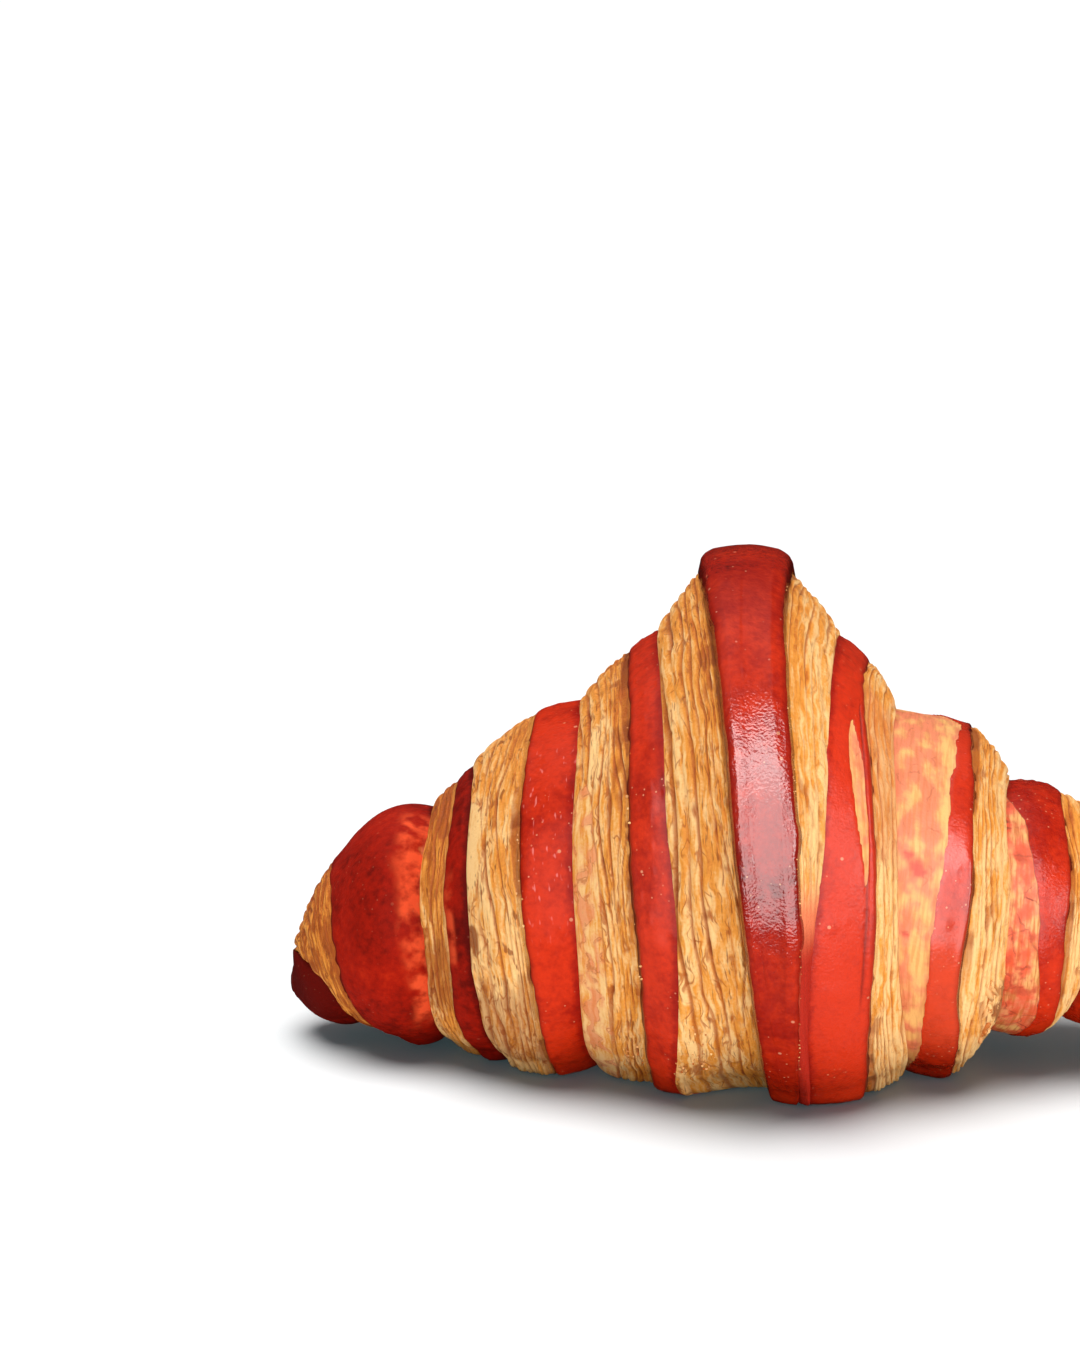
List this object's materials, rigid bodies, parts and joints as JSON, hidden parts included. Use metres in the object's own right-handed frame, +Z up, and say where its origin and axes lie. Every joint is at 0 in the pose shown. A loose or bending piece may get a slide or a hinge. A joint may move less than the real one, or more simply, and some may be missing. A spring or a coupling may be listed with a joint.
{
  "type": "strawberry croissant",
  "caption": "Whole rolled croissant with a red striped crust, layered cut edges and tapered ends, resting on its flat underside.",
  "frame": {"origin": "on the floor, under the middle of the croissant's box", "axes": "+X along the croissant to its right tip, seen from the front, +Z up, and -Y to the front"},
  "size_m": [0.1374, 0.0924, 0.079],
  "materials": {
    "crust": "baked crust: glossy red bands over matt golden layered edges"
  },
  "bodies": {
    "root": {"croissant": "crust"}
  },
  "joints": []
}
